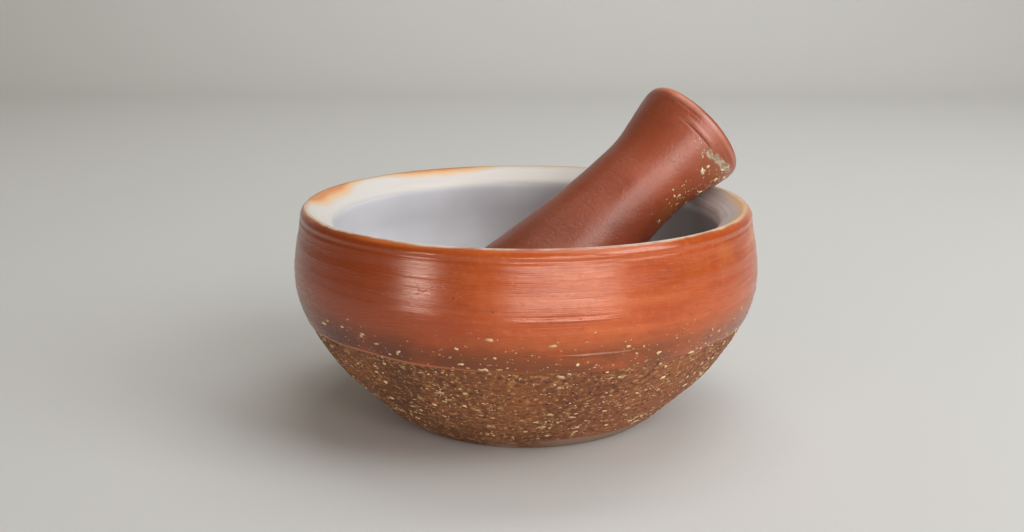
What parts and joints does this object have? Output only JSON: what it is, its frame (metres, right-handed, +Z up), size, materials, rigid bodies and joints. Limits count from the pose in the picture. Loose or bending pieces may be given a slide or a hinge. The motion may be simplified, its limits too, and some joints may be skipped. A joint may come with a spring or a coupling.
{
  "type": "mortar and pestle",
  "caption": "Round-bellied stoneware mortar with a broad inward-sloping glazed rim, and a loose flared pestle leaning in it.",
  "frame": {"origin": "centre of the mortar's foot, on the surface that it stands on", "axes": "+Z up along the mortar's turning axis; the pestle leans towards +X in the plane Y = 0"},
  "size_m": [0.1609, 0.16, 0.1105],
  "materials": {
    "mortar_stoneware": "terracotta slip outside over bare gritty brown clay, white to grey liner glaze on the rim and inside",
    "pestle_stoneware": "satin red-brown slip with cream feldspar grit",
    "feldspar_grit": "cream to tan stone grains that stand slightly proud of both pieces"
  },
  "bodies": {
    "mortar": {"mortar": "mortar_stoneware"},
    "pestle": {"pestle": "pestle_stoneware"}
  },
  "joints": [
    {"name": "pestle_lift", "type": "slide", "parent": "mortar", "child": "pestle", "axis": [0, 0, 1], "range_m": [0, 0.08]}
  ]
}
